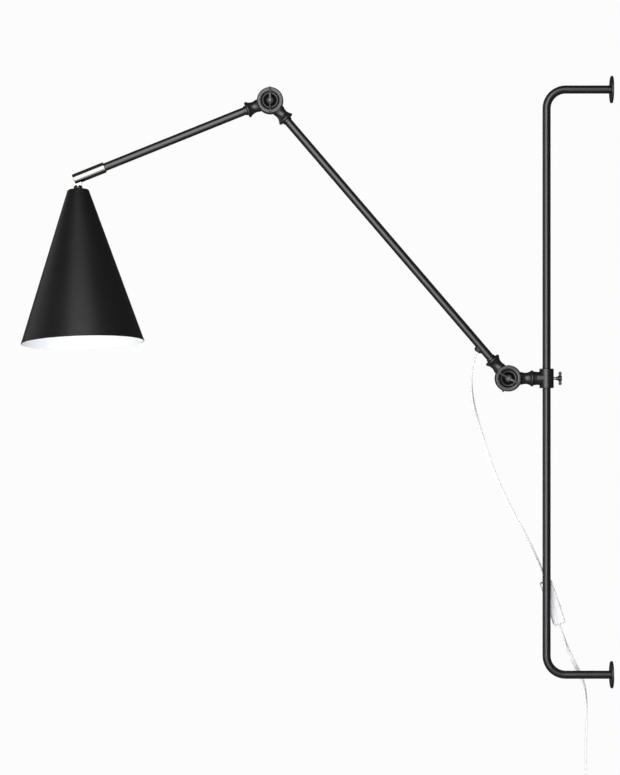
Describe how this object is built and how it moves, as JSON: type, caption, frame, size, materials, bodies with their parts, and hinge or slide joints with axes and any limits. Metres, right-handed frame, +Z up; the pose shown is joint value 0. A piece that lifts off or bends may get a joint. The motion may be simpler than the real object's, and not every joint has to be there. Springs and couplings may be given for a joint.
{
  "type": "articulating wall lamp",
  "caption": "Swing-arm wall lamp: bent bar on two wall flanges, sliding collar, jointed tube arms with wing screws, rolling and tilting conical shade, clear cord with switch and plug.",
  "frame": {"origin": "on the wall plane, midway between the two wall flanges' centres", "axes": "+X into the wall, so the lamp stands out towards -X; +Z up along the bar; the arms lie in the plane y = 0"},
  "size_m": [0.8665, 0.1792, 1.272],
  "materials": {
    "black_paint": "satin black powder coat",
    "shade_black": "matte black outside, white inside",
    "joint_black": "satin black on cast metal",
    "bright_metal": "polished nickel",
    "zinc_steel": "zinc plated",
    "fibre": "red-brown fibre washer",
    "nylon": "natural nylon",
    "black_plastic": "black thermoplastic",
    "porcelain": "white glazed",
    "brass": "plain brass",
    "clear_plastic": "clear moulded",
    "clear_cord": "clear sheath over tinned strands",
    "white_plastic": "white moulded"
  },
  "bodies": {
    "wall_bar": {"bar_tube": "black_paint", "upper_wall_flange": "black_paint", "lower_wall_flange": "black_paint"},
    "slider": {"slider_bush": "nylon"},
    "collar": {"collar_body": "black_paint", "bush_retaining_ring": "black_paint", "base_rear_knuckle": "joint_black", "base_clamp_nut": "zinc_steel", "base_rear_cap": "joint_black", "cord_upper": "clear_cord", "switch_cover": "clear_plastic", "switch_base": "clear_plastic", "switch_screws": "zinc_steel", "switch_contacts": "brass", "cord_lower": "clear_cord", "cord_hank": "clear_cord", "hank_tie": "black_plastic", "plug_body": "white_plastic", "plug_pins": "brass"},
    "clamp_screw": {"clamp_screw_stud": "zinc_steel", "clamp_screw_head": "joint_black"},
    "lower_arm": {"base_front_knuckle": "joint_black", "base_stop_screw": "joint_black", "base_friction_washer": "fibre", "lower_arm_tube": "black_paint", "lower_arm_ferrules": "black_paint", "cord_gland": "black_plastic", "lower_arm_cable": "clear_cord", "elbow_front_knuckle": "joint_black", "elbow_friction_washer": "fibre"},
    "base_screw": {"base_wing_screw": "joint_black", "base_spring_washer": "zinc_steel"},
    "upper_arm": {"elbow_rear_knuckle": "joint_black", "elbow_clamp_nut": "zinc_steel", "elbow_rear_cap": "joint_black", "upper_arm_tube": "black_paint", "upper_arm_ferrule": "black_paint", "upper_arm_cable": "clear_cord"},
    "elbow_screw": {"elbow_wing_screw": "joint_black", "elbow_spring_washer": "zinc_steel"},
    "sleeve": {"head_sleeve": "bright_metal", "sleeve_grub_screw": "bright_metal", "tilt_pin": "bright_metal"},
    "head": {"swivel_stem": "bright_metal", "shade_cap": "black_paint", "shade": "shade_black", "lock_nut": "zinc_steel", "holder_cap": "black_plastic", "holder_skirt": "black_plastic", "holder_insulator": "porcelain", "screw_shell": "brass", "centre_contact": "brass"},
    "rocker": {"switch_rocker": "white_plastic"}
  },
  "joints": [
    {"name": "height_slide", "type": "slide", "parent": "wall_bar", "child": "slider", "axis": [0, 0, 1], "range_m": [-0.391, 0.38]},
    {"name": "collar_swivel", "type": "hinge", "parent": "slider", "child": "collar", "pos_m": [-0.097, 0, 0.0055], "axis": [0, 0, 1], "range_deg": [-90, 90], "deforming": ["cord_lower"]},
    {"name": "clamp_screw_turn", "type": "hinge", "parent": "collar", "child": "clamp_screw", "pos_m": [-0.08, 0, 0.0055], "axis": [1, 0, 0], "range_deg": [0, 270]},
    {"name": "base_hinge", "type": "hinge", "parent": "collar", "child": "lower_arm", "pos_m": [-0.1536, 0, 0.0055], "axis": [0, 1, 0], "range_deg": [-78, 40], "deforming": ["cord_upper"]},
    {"name": "base_screw_turn", "type": "hinge", "parent": "lower_arm", "child": "base_screw", "pos_m": [-0.1536, 0, 0.0055], "axis": [0, 1, 0], "range_deg": [-270, 0]},
    {"name": "elbow_hinge", "type": "hinge", "parent": "lower_arm", "child": "upper_arm", "pos_m": [-0.50326, 0, 0.41346], "axis": [0, 1, 0], "range_deg": [-48, 60]},
    {"name": "elbow_screw_turn", "type": "hinge", "parent": "lower_arm", "child": "elbow_screw", "pos_m": [-0.50326, 0, 0.41346], "axis": [0, 1, 0], "range_deg": [-270, 0]},
    {"name": "head_roll", "type": "hinge", "parent": "upper_arm", "child": "sleeve", "pos_m": [-0.78597, 0, 0.29981], "axis": [-0.9278, 0, -0.373], "range_deg": [-155, 145]},
    {"name": "shade_tilt", "type": "hinge", "parent": "sleeve", "child": "head", "pos_m": [-0.78597, 0, 0.29981], "axis": [0.0357, 0.9954, -0.0889], "range_deg": [-44, 68]},
    {"name": "rocker_tip", "type": "hinge", "parent": "collar", "child": "rocker", "pos_m": [-0.0826, 0.02, -0.32437], "axis": [0, 1, 0], "range_deg": [0, 11]}
  ]
}
